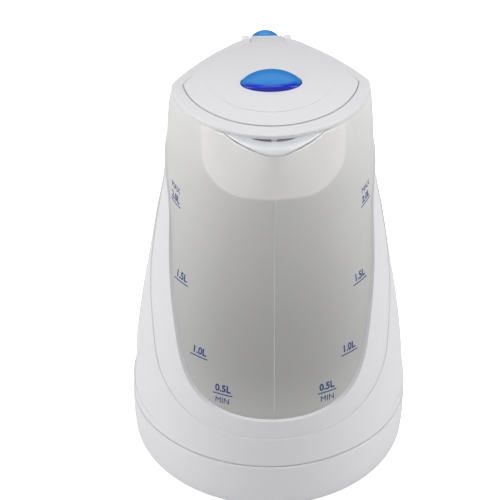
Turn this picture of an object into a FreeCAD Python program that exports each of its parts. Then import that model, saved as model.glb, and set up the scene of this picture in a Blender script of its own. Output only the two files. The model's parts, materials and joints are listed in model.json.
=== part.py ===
import FreeCAD, Part
import math
import os

# Cordless electric kettle on a round power base. Millimetres, +Z up. The origin is on the
# vertical axis of jug and base, in the plane that the base stands on; the spout faces -Y.

os.makedirs("parts", exist_ok=True)
V = FreeCAD.Vector
UP = V(0, 0, 1)
REARWARD = V(0, 1, 0)

# ---- driving dimensions ------------------------------------------------------------------

# Walls of jug and shell as (radius, height) on a smooth curve.
JUG_OUTLINE = [(78.0, 36), (76.5, 54), (72.0, 91), (66.2, 126), (60.6, 161), (58.4, 174),
               (57.6, 188), (57.1, 200), (56.0, 221), (54.2, 240), (53.0, 250)]
SHELL_OUTLINE = [(79.9, 25), (79.8, 38), (78.6, 54), (74.2, 91), (68.4, 126), (62.6, 161),
                 (60.4, 172), (59.4, 180), (59.1, 195), (58.6, 215), (57.6, 240)]
JUG_WALL = 2.5
JUG_FLOOR = 40.0
JUG_FLOOR_OPENING = 64.0

# Plan outline of the top: a round front and two straight sides that meet a smaller rear arc.
RIM_R = 53.8
SIDE_DISTANCE = 41.9
REAR_ARC_CENTRE_Y = 23.4
SIDE_NORMAL = V(0.797, 0.604, 0)
SIDE_TAPER = 0.4
TAPER_LEVEL = 240.0
RIM_CORNER_R = 9.0
SIDE_BULGE = 1.8
REAR_CORNER_R = 18.0
LID_ARC_BACK = 2.5

# The top face of the collar is crowned: an arc in side view, highest over the spout.
CROWN_TOP = 245.0
CROWN_Y = -54.0
CROWN_R = 792.0
COLLAR_HEIGHT = 2.5
COLLAR_SKIRT_INSET = 7.3
COLLAR_SKIRT_DROP = 5.5
COLLAR_BORE_INSET = 9.3
RECESS_INSET = 5.7
RECESS_DEPTH = 1.6
RIM_BEAD_R = 1.2

# Spout: how far the beak stands out from the wall, as (angle from the front, reach).
BEAK_REACH = [(0.0, 9.6), (9.4, 7.0), (20.4, 3.5), (33.6, 1.8), (50.0, -0.6)]
BEAK_LEVELS = [(246.0, 1.0, 0.0), (222.0, 0.42, 0.25), (202.0, 0.0, -1.2)]
BEAK_WALL = 2.0
TROUGH_R = 45.0
TROUGH_LOW_Y = -44.0
TROUGH_LOW_Z = 235.5
TROUGH_THICKNESS = 1.0
TROUGH_LIP = [(31.0, -43.8), (24.0, -48.9), (18.0, -51.9), (12.0, -55.8), (6.0, -60.7), (0.0, -63.2)]
TROUGH_INNER_R = 46.6
MOUTH_HALF_WIDTH = 31.0
MOUTH_TOP = 242.6

# Filter behind the spout: (outer radius, inner radius) of its skirt and of its upright band.
FILTER_SKIRT_R = (51.6, 50.0)
FILTER_BAND_R = (46.2, 44.9)
FILTER_LEDGE_Z = (233.2, 234.4)
FILTER_TOP = 240.3
FILTER_LOW = 200.0
FILTER_BACK_Y = -34.0
FILTER_SLOT_XS = (-24, -14, -4.5, 4.5, 14, 24)
FILTER_WINDOW_XS = (-19, -6.5, 6.5, 19)
MESH_R = (49.9, 49.5)
MESH_Z = (212.5, 231.5)

# Shell: front opening and the fine step round it, as (y, z) in side view.
WINDOW_EDGE = [(-90, 63.0), (-76.5, 63.4), (-66, 69.3), (-55.4, 83.3), (-46.2, 104.1),
               (-34.4, 133.5), (-22.4, 166.6), (-8, 187), (14, 201), (38, 210), (70, 216)]
STEP_EDGE = [(-90, 51.0), (-76.5, 51.2), (-64.2, 55.7), (-46.8, 67.9), (-38.3, 77.4),
             (-30.9, 91.2), (-22.3, 105.4), (-7.2, 129), (-2.5, 150), (6, 176), (24, 194), (70, 208)]
STEP_DEPTH = 0.55
FLANK_RING_R = 80.6
FLANK_RING_SHIFT = 1.0
FLANK_LEDGE_Z = 34.0
FLANK_HOLLOW_TOP = 57.0
FLANK_HOLLOW_DEPTH = 1.1
FLANK_HOLLOW_Y = (-9.0, 30.0)

# Base: the rim is a little higher at the front than round the back.
BASE_R = 81.0
BASE_FOOT_R = 80.2
BASE_WALL = 2.6
BASE_DECK_Z = 18.0
BASE_DECK_THICKNESS = 2.0
RIM_FRONT_Z = 30.4
RIM_REAR_Z = 25.0
RIM_GAP = 0.8
PLATE_R = 77.6
CONNECTOR_R = 9.5
CONNECTOR_TOP = 31.0
CONNECTOR_COLLAR_R = 15.0
CONNECTOR_COLLAR_HEIGHT = 4.0
# Contact rings of the connector as (outer radius, inner radius, depth below the post's top).
CONTACT_RINGS = [(7.5, 6.9, 2.0), (4.3, 3.7, 3.0)]
CONTACT_PIN_R = 1.1
INLET_Z = 8.5
INLET_R = 3.3
INLET_BUSH_R = 6.0
CLAMP_Y = (56.0, 63.0)
CLAMP_HALF_LENGTH = 11.0
BASE_UNDERSIDE = 2.0
BASE_OUTLINE = [(BASE_FOOT_R, 0.6), (80.7, 6), (BASE_R, 14), (BASE_R, 22), (80.7, 34)]
BASE_EDGE_R = 1.1
BASE_SCREW_CIRCLE_R = 52.0
PLATE_THICKNESS = 2.2
VENT_XS = (-30, -26, -22, 22, 26, 30)
VENT_HALF_LENGTH = 14.0
FOOT_RING_R = (63.0, 71.0)

# Pan-head screws.
SCREW_HEAD_R = 3.0
SCREW_HEAD_HEIGHT = 1.6
SCREW_SHANK_R = 1.4
SCREW_SLOT = 0.8

# Underside of the kettle and its heater.
COVER_Z = 19.2
COVER_R = 77.0
SOCKET_R = 10.6
CONTROL_R = 22.0
HEATER_PLATE_TOP = 38.6
HEATER_PLATE_R = 68.0
SPREADER_R = 56.0
PLATE_UNDERSIDE = 37.2
SPREADER_UNDERSIDE = 35.2
ELEMENT_R = 42.0
ELEMENT_TUBE_R = 3.5
ELEMENT_TAIL_R = 2.2
CLAMP_RING_R = 75.0
CLAMP_SCREW_CIRCLE_R = 71.5
COVER_SCREW_CIRCLE_R = 69.5
CONTROL_TOP = 33.0
DISC_X = 13.0
STAND_RING_R = (57.0, 60.0)

# Handle, in side view as (y, z), and its widths.
HANDLE_OUTSIDE = [(50, 233.2), (64, 226.2), (78, 218.6), (96, 206), (112, 187), (121, 152), (118, 112),
                  (107, 74), (92, 48), (80, 36)]
HANDLE_INSIDE = [(70, 60), (80, 68), (93, 92), (98.5, 124), (97.5, 156), (90, 182), (77, 196),
                 (60, 202), (50, 203)]
HANDLE_HALF_WIDTH = 16.0
HANDLE_WALL = 3.2
HANDLE_SPLIT = [(40, 196.0), (66, 207.5), (86, 200), (100, 184), (107.5, 154), (107, 122),
                (99, 86), (84, 58), (66, 40)]
HANDLE_ROUNDING = 8.0
# Handle screws as (height, head, tip), the last two along y.
HANDLE_SCREWS = [(178.0, 93.8, 108.0), (92.0, 96.0, 107.0)]
HANDLE_BOSS_R = 5.0

# Lid and its hinge.
HINGE_Y = 57.0
HINGE_Z = 230.4
HINGE_PIN_R = 1.5
HINGE_PIN_HALF_LENGTH = 13.0
EAR_WIDTH = 4.4
KNUCKLE_R = 3.2
TONGUE_HALF_WIDTH = 9.0
RUNNING = 0.06
LID_DOME = [(-60.0, 243.9), (0.0, 245.9), (60.0, 235.9)]
LID_CROSS_R = 600.0
LID_SWEEP = 14.0
LID_PANEL_R = 34.3
LID_PANEL_STEP = 0.3
LID_FRONT_INSET = 6.2
LID_REAR_INSET = 6.9
LID_EDGE = 1.2
LID_WALL = 2.0
LINER_BOTTOM = 229.0
LINER_INSETS = (11.0, 13.5)
LINER_WALL = 2.0
LINER_FLOOR = 1.8
LINER_VENT_XS = (-10, -5, 0, 5, 10)
LINER_VENT_Y = 24.0
SEAL_INSETS = (9.9, 12.3)

# Button, an ellipse seen from above.
BUTTON_Y = -7.0
BUTTON_HALF_LENGTH = 16.3
BUTTON_HALF_DEPTH = 9.1
BUTTON_TOP = 250.6
BUTTON_DOME_R = 33.0
BUTTON_EDGE_R = 0.9
BUTTON_SKIRT_Z = 241.5
BUTTON_CLEARANCE = 0.4
BUTTON_FLANGE = 1.4
BUTTON_STEM_R = 4.0
SPRING_R = 6.0
SPRING_WIRE_R = 0.45
SPRING_TURNS = 5
LATCH_NOSE = 1.2
LATCH_X = (8.0, 41.4)
LATCH_Y = (-13.0, -7.0)
LATCH_Z = (235.6, 238.4)

# Switch on top of the handle.
SWITCH_Y = 75.0
SWITCH_PIVOT_Z = 208.0
SWITCH_TOP = 225.4
SWITCH_HALF_WIDTH = 9.4
SWITCH_THICKNESS = 6.0
SWITCH_PIN_R = 1.2
SWITCH_PIN_HALF_LENGTH = 10.8
SWITCH_EDGE_R = 2.0
SWITCH_STEM_HALF_WIDTH = 7.6
SWITCH_STEM_TOP = 213.0
HOUSING_HALF_WIDTH = 11.0
HOUSING_Y = (65.0, 82.0)
HOUSING_Z = (204.0, 210.5)
STEAM_TUBE_Z = 207.2
STEAM_TUBE_R = 3.0
STEAM_TUBE_WALL = 0.8
STEAM_TUBE_START = 51.5

BIG = 200.0
PARTS = {}


# ---- helpers -----------------------------------------------------------------------------

def keep(name, shape):
    """Clean a finished piece and file it under its node name."""
    PARTS[name] = shape.removeSplitter()


def spline(points):
    curve = Part.BSplineCurve()
    curve.interpolate(points)
    return curve.toShape()


def cylinder(radius, z_low, z_high, x=0.0, y=0.0):
    return Part.makeCylinder(radius, z_high - z_low, V(x, y, z_low), UP)


def tube(outer, inner, z_low, z_high, x=0.0, y=0.0):
    return cylinder(outer, z_low, z_high, x, y).cut(cylinder(inner, z_low - 1, z_high + 1, x, y))


def rod(radius, start, end):
    direction = end.sub(start)
    return Part.makeCylinder(radius, direction.Length, start, direction)


def block(x_range, y_range, z_range):
    size = [high - low for low, high in (x_range, y_range, z_range)]
    return Part.makeBox(size[0], size[1], size[2], V(x_range[0], y_range[0], z_range[0]))


def union(shapes):
    return shapes[0].multiFuse(shapes[1:])


def revolved(profile):
    """Solid of revolution from a closed polygon of (radius, height)."""
    points = [V(0, r, z) for r, z in profile]
    face = Part.Face(Part.makePolygon(points + points[:1]))
    return face.revolve(V(0, 0, 0), UP, 360)


def round_body(outline, inset=0.0):
    """Solid of revolution under a smooth wall, with the wall moved in by inset."""
    wall = [V(0, r - inset, z) for r, z in outline]
    low_axis = V(0, 0, wall[0].z)
    high_axis = V(0, 0, wall[-1].z)
    lines = Part.makePolygon([wall[-1], high_axis, low_axis, wall[0]])
    face = Part.Face(Part.Wire([spline(wall)] + lines.Edges))
    return face.revolve(V(0, 0, 0), UP, 360)


def side_slab(edge_points, z_far, half_width=BIG):
    """Everything between a smooth side-view curve and the level z_far, right across."""
    points = [V(0, y, z) for y, z in edge_points]
    corners = [points[-1], V(0, points[-1].y, z_far), V(0, points[0].y, z_far), points[0]]
    face = Part.Face(Part.Wire([spline(points)] + Part.makePolygon(corners).Edges))
    slab = face.extrude(V(2 * half_width, 0, 0))
    slab.translate(V(-half_width, 0, 0))
    return slab


def under_crown(drop):
    """Everything below the crown of the top, lowered by drop."""
    centre_z = CROWN_TOP - CROWN_R
    radius = CROWN_R - drop

    def on_arc(y):
        return V(0, y, centre_z + math.sqrt(radius ** 2 - (y - CROWN_Y) ** 2))

    arc = Part.Arc(on_arc(-95), on_arc(0), on_arc(95)).toShape()
    lines = Part.makePolygon([on_arc(95), V(0, 95, -10), V(0, -95, -10), on_arc(-95)])
    solid = Part.Face(Part.Wire([arc] + lines.Edges)).extrude(V(2 * BIG, 0, 0))
    solid.translate(V(-BIG, 0, 0))
    return solid


def teardrop(front_inset, rear_inset, z_low, z_high, back=LID_ARC_BACK):
    """Prism of the plan outline, moved in by separate amounts round the front and the rear.

    back is how far the centre of the front arc lies behind the axis."""
    n = SIDE_NORMAL
    front_r = RIM_R - front_inset
    distance = SIDE_DISTANCE - rear_inset
    rear_r = distance - REAR_ARC_CENTRE_Y * n.y
    from_centre = distance - back * n.y
    along = math.sqrt(front_r ** 2 - from_centre ** 2)
    corner = V(from_centre * n.x + along * n.y, back + from_centre * n.y - along * n.x, z_low)
    tangent = V(rear_r * n.x, REAR_ARC_CENTRE_Y + rear_r * n.y, z_low)
    bulge = corner.add(tangent).multiply(0.5).add(V(n.x, n.y, 0).multiply(SIDE_BULGE))
    corner_left, tangent_left, bulge_left = [V(-p.x, p.y, z_low) for p in (corner, tangent, bulge)]
    edges = [Part.Arc(corner, V(0, back - front_r, z_low), corner_left).toShape(),
             Part.Arc(corner_left, bulge_left, tangent_left).toShape(),
             Part.Arc(tangent_left, V(0, REAR_ARC_CENTRE_Y + rear_r, z_low), tangent).toShape(),
             Part.Arc(tangent, bulge, corner).toShape()]
    prism = Part.Face(Part.Wire(edges)).extrude(V(0, 0, z_high - z_low))
    upright = [e for e in prism.Edges if abs(e.BoundBox.ZLength - (z_high - z_low)) < 0.01]
    at_front = [e for e in upright if e.CenterOfMass.y < corner.y + 1]
    prism = prism.makeFillet(max(RIM_CORNER_R - front_inset, 2.0), at_front)
    at_rear = [e for e in prism.Edges if abs(e.BoundBox.ZLength - (z_high - z_low)) < 0.01
               and abs(e.CenterOfMass.y - tangent.y) < 0.5]
    return prism.makeFillet(REAR_CORNER_R, at_rear)


def shoulder_hull(grow):
    """Room inside the two sloping shoulders and the rear arc; it widens downwards."""
    n = SIDE_NORMAL
    sections = []
    for z in (10.0, 260.0):
        distance = SIDE_DISTANCE + grow + SIDE_TAPER * (TAPER_LEVEL - z)
        radius = distance - REAR_ARC_CENTRE_Y * n.y
        tangent = V(radius * n.x, REAR_ARC_CENTRE_Y + radius * n.y, z)
        far = tangent.add(V(n.y, -n.x, 0).multiply(240))
        left = [V(-p.x, p.y, p.z) for p in (tangent, far)]
        apex = V(0, REAR_ARC_CENTRE_Y + radius, z)
        lines = Part.makePolygon([tangent, far, left[1], left[0]])
        sections.append(Part.Wire(lines.Edges + [Part.Arc(left[0], apex, tangent).toShape()]))
    return Part.makeLoft(sections, True, True)


def wall_radius(z):
    """Radius of the jug wall at height z, straight between the outline's points."""
    for (r0, z0), (r1, z1) in zip(JUG_OUTLINE, JUG_OUTLINE[1:]):
        if z0 <= z <= z1:
            return r0 + (r1 - r0) * (z - z0) / (z1 - z0)
    raise ValueError("height outside the jug")


def beak(inset):
    """The spout's bulge: wide at the rim, and run out into the round wall below."""
    sections = []
    for z, share, lift in BEAK_LEVELS:
        front = []
        for angle, reach in [(-a, r) for a, r in reversed(BEAK_REACH)] + BEAK_REACH[1:]:
            radius = wall_radius(z) + share * reach + lift - inset
            a = math.radians(angle)
            front.append(V(radius * math.sin(a), -radius * math.cos(a), z))
        back = Part.makePolygon([front[-1], V(25, -20, z), V(-25, -20, z), front[0]])
        sections.append(Part.Wire([spline(front)] + back.Edges))
    return Part.makeLoft(sections, True, False)


def trough_ball(radius):
    return Part.makeSphere(radius, V(0, TROUGH_LOW_Y, TROUGH_LOW_Z + TROUGH_R))


def front_of(y):
    return block((-BIG, BIG), (-BIG, y), (0, 300))


def oval(half_length, half_depth, z_low, z_high):
    """Prism of the button's elliptical outline."""
    ellipse = Part.Ellipse(V(0, BUTTON_Y, z_low), half_length, half_depth)
    return Part.Face(Part.Wire([ellipse.toShape()])).extrude(V(0, 0, z_high - z_low))


def screw(x, y, z_head, z_tip, head_r=SCREW_HEAD_R):
    """Pan-head screw driven upwards, with a cross slot in its head."""
    z_neck = z_head + SCREW_HEAD_HEIGHT
    slot_z = (z_head - 1, z_head + SCREW_SLOT)
    half = SCREW_SLOT / 2
    slots = [block((x - 2, x + 2), (y - half, y + half), slot_z),
             block((x - half, x + half), (y - 2, y + 2), slot_z)]
    head = cylinder(head_r, z_head, z_neck, x, y).cut(union(slots))
    return head.fuse(cylinder(SCREW_SHANK_R, z_neck, z_tip, x, y))


def polar(radius, degrees):
    return radius * math.cos(math.radians(degrees)), radius * math.sin(math.radians(degrees))


# ---- power base --------------------------------------------------------------------------

BASE_SCREW_PLACES = [polar(BASE_SCREW_CIRCLE_R, a) for a in (45, 135, 225, 315)]


def rim_curve(gap):
    """Side view of the base's rim: level round the back, rising to the front."""
    return [(-90, RIM_FRONT_Z + gap), (-70, RIM_FRONT_Z - 0.3 + gap), (-40, RIM_FRONT_Z - 3.0 + gap),
            (-14, RIM_REAR_Z + 0.4 + gap), (10, RIM_REAR_Z + gap), (90, RIM_REAR_Z + gap)]


def make_base():
    body = round_body(BASE_OUTLINE).cut(side_slab(rim_curve(0.0), 60))
    top_edges = [e for e in body.Edges if e.BoundBox.ZMin > RIM_REAR_Z - 1]
    body = body.makeFillet(BASE_EDGE_R, top_edges)
    inner_r = BASE_R - BASE_WALL
    above_deck = cylinder(inner_r, BASE_DECK_Z, 60)
    below_deck = cylinder(inner_r, -5, BASE_DECK_Z - BASE_DECK_THICKNESS)
    cover = body.cut(above_deck).cut(below_deck)
    collar = tube(CONNECTOR_COLLAR_R, CONNECTOR_COLLAR_R - 2, BASE_DECK_Z - 1,
                  BASE_DECK_Z + CONNECTOR_COLLAR_HEIGHT)
    bosses = [tube(3.6, 1.2, 5, BASE_DECK_Z - 1, x, y) for x, y in BASE_SCREW_PLACES]
    cover = union([cover, collar] + bosses)
    cover = cover.cut(cylinder(CONNECTOR_R + 0.2, BASE_DECK_Z - 5, BASE_DECK_Z + 1))
    inlet = V(0, 60, INLET_Z)
    cover = cover.cut(rod(INLET_BUSH_R - 1.5, inlet, V(0, 90, INLET_Z)))
    keep("base_top_cover", cover)

    plate = cylinder(PLATE_R, BASE_UNDERSIDE, BASE_UNDERSIDE + PLATE_THICKNESS)
    inlet_notch = rod(INLET_BUSH_R + 0.3, V(0, 70, INLET_Z), V(0, 90, INLET_Z))
    plate = plate.cut(inlet_notch)
    for x, y in BASE_SCREW_PLACES:
        plate = plate.fuse(cylinder(4.6, BASE_UNDERSIDE, 4.9, x, y))
        plate = plate.cut(cylinder(1.6, 0, 10, x, y))
        plate = plate.cut(cylinder(3.4, 0, BASE_UNDERSIDE + 1.7, x, y))
    vent_y = (-VENT_HALF_LENGTH, VENT_HALF_LENGTH)
    vents = [block((x - 0.8, x + 0.8), vent_y, (0, 10)) for x in VENT_XS]
    plate = plate.cut(union(vents))
    keep("base_bottom_plate", plate)

    keep("base_foot_ring", tube(FOOT_RING_R[1], FOOT_RING_R[0], 0, BASE_UNDERSIDE))
    screws = [screw(x, y, BASE_UNDERSIDE, 13) for x, y in BASE_SCREW_PLACES]
    keep("base_screws", Part.makeCompound(screws))
    make_connector()
    make_cord_entry()


def make_connector():
    deck_low = BASE_DECK_Z - BASE_DECK_THICKNESS
    post = revolved([(0, 7), (12, 7), (12, deck_low - 3), (17, deck_low - 3), (17, deck_low),
                     (CONNECTOR_R, deck_low), (CONNECTOR_R, CONNECTOR_TOP - 1),
                     (CONNECTOR_R - 1, CONNECTOR_TOP), (0, CONNECTOR_TOP)])
    grooves = [tube(outer + 0.1, inner - width, 20, 40)
               for (outer, inner, _), width in zip(CONTACT_RINGS, (0.9, 0.8))]
    post = post.cut(union(grooves)).cut(cylinder(CONTACT_PIN_R + 0.1, 20, 40))
    keep("connector_post", post)
    rings = [tube(outer, inner, 20, CONNECTOR_TOP - depth) for outer, inner, depth in CONTACT_RINGS]
    pin = cylinder(CONTACT_PIN_R, 20, CONNECTOR_TOP - 1)
    keep("connector_contacts", Part.makeCompound(rings + [pin]))


def make_cord_entry():
    start = V(0, BASE_R - BASE_WALL - 2.5, INLET_Z)
    flange = rod(INLET_BUSH_R, start, V(0, BASE_R - BASE_WALL - 0.9, INLET_Z))
    neck = rod(INLET_BUSH_R - 1.5, start, V(0, BASE_R + 0.6, INLET_Z))
    bush = flange.fuse(neck).cut(rod(INLET_R, V(0, 60, INLET_Z), V(0, 90, INLET_Z)))
    keep("cord_inlet_bush", bush)
    bar = block((-CLAMP_HALF_LENGTH, CLAMP_HALF_LENGTH), CLAMP_Y, (11.9, 14.4))
    bar = bar.cut(rod(INLET_R, V(0, 50, INLET_Z + 1.2), V(0, 70, INLET_Z + 1.2)))
    foot_x = CLAMP_HALF_LENGTH - 2.5
    foot_z = (BASE_UNDERSIDE + PLATE_THICKNESS, 11.9)
    feet = [block((side * foot_x - 2.5, side * foot_x + 2.5), CLAMP_Y, foot_z) for side in (-1, 1)]
    keep("cord_clamp", union([bar] + feet))


# ---- jug, shell and collar ---------------------------------------------------------------

def tongue_way(half_width, floor_z):
    """The notch at the back that the lid's hinge tongue lies in."""
    return block((-half_width, half_width), (38, 63), (floor_z, 260))


def make_jug():
    outer = round_body(JUG_OUTLINE).common(shoulder_hull(0.0))
    outer = soften_shoulders(outer, 7.0).fuse(beak(0.0))
    inner = round_body(JUG_OUTLINE, JUG_WALL).common(shoulder_hull(-JUG_WALL))
    inner = inner.fuse(beak(BEAK_WALL))
    inner = inner.cut(cylinder(90, 30, JUG_FLOOR + 3))
    jug = outer.cut(inner).cut(cylinder(90, 30, JUG_FLOOR))
    jug = jug.cut(cylinder(JUG_FLOOR_OPENING, 30, 60))
    jug = jug.common(under_crown(COLLAR_HEIGHT))
    spout_clearance = trough_ball(TROUGH_R + TROUGH_THICKNESS + 0.4).common(front_of(TROUGH_LOW_Y))
    jug = jug.cut(spout_clearance)
    jug = jug.cut(tongue_way(TONGUE_HALF_WIDTH + 1.0, 226.0))
    keep("jug", jug)
    return outer


def soften_shoulders(solid, radius):
    """Round the edge where each sloping shoulder meets the round wall."""
    edges = []
    for edge in solid.Edges:
        box = edge.BoundBox
        if box.ZLength > 20 and box.ZMin > 185 and abs(edge.CenterOfMass.x) > 30:
            edges.append(edge)
    return solid.makeFillet(radius, edges)


def make_shell(jug_outer):
    outer = round_body(SHELL_OUTLINE).common(shoulder_hull(1.6))
    ring = cylinder(FLANK_RING_R, 20, FLANK_LEDGE_Z, 0, FLANK_RING_SHIFT)
    outer = outer.fuse(ring)
    below_rim = block((-BIG, BIG), (-BIG, BIG), (0, 60)).common(side_slab(rim_curve(RIM_GAP), 0))
    outer = outer.cut(below_rim)
    shell = outer.cut(round_body([(77.6, 18), (77.6, 36)])).cut(jug_outer)
    shell = shell.cut(side_slab(WINDOW_EDGE, 300))
    shell = shell.cut(side_slab(STEP_EDGE, 300).cut(round_body(SHELL_OUTLINE, STEP_DEPTH)))
    hollow = block((-BIG, BIG), FLANK_HOLLOW_Y, (FLANK_LEDGE_Z, FLANK_HOLLOW_TOP))
    shell = shell.cut(hollow.cut(round_body(SHELL_OUTLINE, FLANK_HOLLOW_DEPTH)))
    keep("outer_shell", shell)


def make_collar():
    blank = teardrop(0, 0, 225, 255, 0.0).common(under_crown(0))
    top_edges = [e for e in blank.Edges if e.BoundBox.ZMin > 236]
    blank = blank.makeFillet(RIM_BEAD_R, top_edges).cut(under_crown(COLLAR_HEIGHT))
    ring = blank.cut(teardrop(COLLAR_BORE_INSET, COLLAR_BORE_INSET, 220, 260))
    ring = ring.cut(teardrop(RECESS_INSET, RECESS_INSET, 220, 260).cut(under_crown(RECESS_DEPTH)))
    skirt = teardrop(COLLAR_SKIRT_INSET, COLLAR_SKIRT_INSET, 220, 260)
    skirt = skirt.cut(teardrop(COLLAR_BORE_INSET, COLLAR_BORE_INSET, 210, 265))
    skirt = skirt.common(under_crown(COLLAR_HEIGHT - 0.5)).cut(under_crown(COLLAR_SKIRT_DROP))
    mouth = block((-MOUTH_HALF_WIDTH, MOUTH_HALF_WIDTH), (-70, -36), (230, MOUTH_TOP))
    ring = ring.fuse(skirt).cut(mouth)

    lip = [V(-x, y, 230) for x, y in TROUGH_LIP] + [V(x, y, 230) for x, y in reversed(TROUGH_LIP[:-1])]
    back = Part.makePolygon([lip[-1], V(MOUTH_HALF_WIDTH, -30, 230), V(-MOUTH_HALF_WIDTH, -30, 230), lip[0]])
    lip_prism = Part.Face(Part.Wire([spline(lip)] + back.Edges)).extrude(V(0, 0, 20))
    trough = trough_ball(TROUGH_R + TROUGH_THICKNESS).cut(trough_ball(TROUGH_R))
    trough = trough.common(lip_prism).common(under_crown(2.2)).cut(cylinder(TROUGH_INNER_R, 200, 260))
    collar = ring.fuse(trough).cut(tongue_way(TONGUE_HALF_WIDTH + 0.5, 226.0))
    keep("collar", collar)


def make_filter():
    at_front = front_of(FILTER_BACK_Y)
    skirt = tube(*FILTER_SKIRT_R, FILTER_LOW, FILTER_LEDGE_Z[1]).common(at_front)
    outline = union([rod(30, V(0, -80, 235), V(0, -20, 235)),
                     block((-37, 37), (-80, -20), (222, 240))])
    skirt = skirt.common(outline)
    slots = [block((x - 3, x + 3), (-80, -20), (214, 230)) for x in FILTER_SLOT_XS]
    ledge = tube(FILTER_SKIRT_R[0], FILTER_BAND_R[1], *FILTER_LEDGE_Z).common(at_front)
    band = tube(*FILTER_BAND_R, FILTER_LEDGE_Z[1], FILTER_TOP).common(at_front)
    windows = [block((x - 5, x + 5), (-80, -20), (235.6, 239.2)) for x in FILTER_WINDOW_XS]
    frame = union([skirt.cut(union(slots)), ledge, band.cut(union(windows))])
    keep("filter_frame", frame)
    keep("filter_mesh", tube(*MESH_R, *MESH_Z).common(front_of(FILTER_BACK_Y - 4)))


# ---- heater and underside ----------------------------------------------------------------

CLAMP_SCREW_PLACES = [polar(CLAMP_SCREW_CIRCLE_R, a) for a in (30, 90, 150, 210, 270, 330)]
COVER_SCREW_PLACES = [polar(COVER_SCREW_CIRCLE_R, a) for a in (60, 180, 300)]


def make_heater():
    flange_top = HEATER_PLATE_TOP - 0.6
    plate = revolved([(0, PLATE_UNDERSIDE), (HEATER_PLATE_R, PLATE_UNDERSIDE), (HEATER_PLATE_R, flange_top),
                      (64.6, flange_top), (63.6, HEATER_PLATE_TOP), (0, HEATER_PLATE_TOP)])
    keep("heating_plate", plate)
    keep("plate_seal", tube(HEATER_PLATE_R, 65.0, flange_top, JUG_FLOOR))
    ring = tube(CLAMP_RING_R, JUG_FLOOR_OPENING, 34.6, PLATE_UNDERSIDE)
    ring = ring.fuse(tube(CLAMP_RING_R, HEATER_PLATE_R + 0.4, PLATE_UNDERSIDE, JUG_FLOOR - 0.1))
    for x, y in CLAMP_SCREW_PLACES:
        ring = ring.cut(cylinder(1.45, 30, 45, x, y))
    keep("clamp_ring", ring)
    screws = [screw(x, y, 33.0, 41.5, 2.6) for x, y in CLAMP_SCREW_PLACES]
    keep("clamp_screws", Part.makeCompound(screws))
    keep("heat_spreader", cylinder(SPREADER_R, SPREADER_UNDERSIDE, PLATE_UNDERSIDE))
    loop_z = SPREADER_UNDERSIDE - ELEMENT_TUBE_R
    loop = Part.makeTorus(ELEMENT_R, ELEMENT_TUBE_R, V(0, 0, loop_z), UP, -180, 180, 300)
    loop.rotate(V(0, 0, 0), UP, -60)
    tails = []
    for degrees in (-60, -120):
        x, y = polar(ELEMENT_R, degrees)
        tails.append(cylinder(ELEMENT_TAIL_R, 24.0, loop_z, x, y))
    keep("heating_element", union([loop] + tails))


def make_control():
    unit = cylinder(CONTROL_R, COVER_Z + 0.2, CONTROL_TOP)
    unit = unit.cut(cylinder(SOCKET_R, 10, CONNECTOR_TOP + 0.6))
    ears = block((-30, 30), (-5, 5), (CONTROL_TOP - 3, CONTROL_TOP)).cut(cylinder(CONTROL_R - 1, 20, 40))
    collar_room = cylinder(CONNECTOR_COLLAR_R + 0.6, 10, BASE_DECK_Z + CONNECTOR_COLLAR_HEIGHT + 0.6)
    keep("control_unit", unit.fuse(ears).cut(collar_room))
    discs = []
    for x in (-DISC_X, DISC_X):
        disc = cylinder(6.5, CONTROL_TOP, CONTROL_TOP + 0.7, x, 0)
        discs.append(disc.fuse(cylinder(1.2, CONTROL_TOP + 0.7, SPREADER_UNDERSIDE, x, 0)))
    keep("thermostat_discs", Part.makeCompound(discs))


def make_bottom_cover():
    cover = revolved([(CONTROL_R + 0.4, COVER_Z), (COVER_R - 1.5, COVER_Z), (COVER_R, COVER_Z + 1.5),
                      (COVER_R, 33.0), (COVER_R - 2, 33.0), (COVER_R - 2, COVER_Z + 2),
                      (CONTROL_R + 0.4, COVER_Z + 2)])
    stand = tube(STAND_RING_R[1], STAND_RING_R[0], BASE_DECK_Z + 0.3, COVER_Z)
    bosses = [cylinder(4.2, COVER_Z + 2, 34.2, x, y) for x, y in COVER_SCREW_PLACES]
    cover = union([cover, stand] + bosses)
    for x, y in COVER_SCREW_PLACES:
        cover = cover.cut(cylinder(1.6, 10, 36, x, y))
        cover = cover.cut(cylinder(3.3, 10, COVER_Z + 1.7, x, y))
    keep("bottom_cover", cover)
    screws = [screw(x, y, COVER_Z + 0.1, 36.8) for x, y in COVER_SCREW_PLACES]
    keep("bottom_screws", Part.makeCompound(screws))


# ---- handle ------------------------------------------------------------------------------

def moved_in(points, inset):
    """Points of a clockwise side-view curve, each moved square to the curve into the material."""
    moved = []
    for i, (y, z) in enumerate(points):
        before = points[max(i - 1, 0)]
        after = points[min(i + 1, len(points) - 1)]
        run = (after[0] - before[0], after[1] - before[1])
        length = math.hypot(run[0], run[1])
        moved.append(V(0, y + inset * run[1] / length, z - inset * run[0] / length))
    return moved


def handle_profile(inset):
    """Closed side-view outline of the handle, moved in by inset."""
    outside = moved_in(HANDLE_OUTSIDE, inset)
    inside = moved_in(HANDLE_INSIDE, inset)
    joints = [Part.LineSegment(outside[-1], inside[0]).toShape(),
              Part.LineSegment(inside[-1], outside[0]).toShape()]
    return Part.Face(Part.Wire([spline(outside), joints[0], spline(inside), joints[1]]))


def handle_solid(inset, rounding):
    half = HANDLE_HALF_WIDTH - inset
    solid = handle_profile(inset).extrude(V(2 * half, 0, 0))
    solid.translate(V(-half, 0, 0))
    if not rounding:
        return solid
    rims = []
    for edge in solid.Edges:
        box = edge.BoundBox
        if box.XLength < 0.01 and max(box.YLength, box.ZLength) > 60:
            rims.append(edge)
    return solid.makeFillet(rounding, rims)


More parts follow.
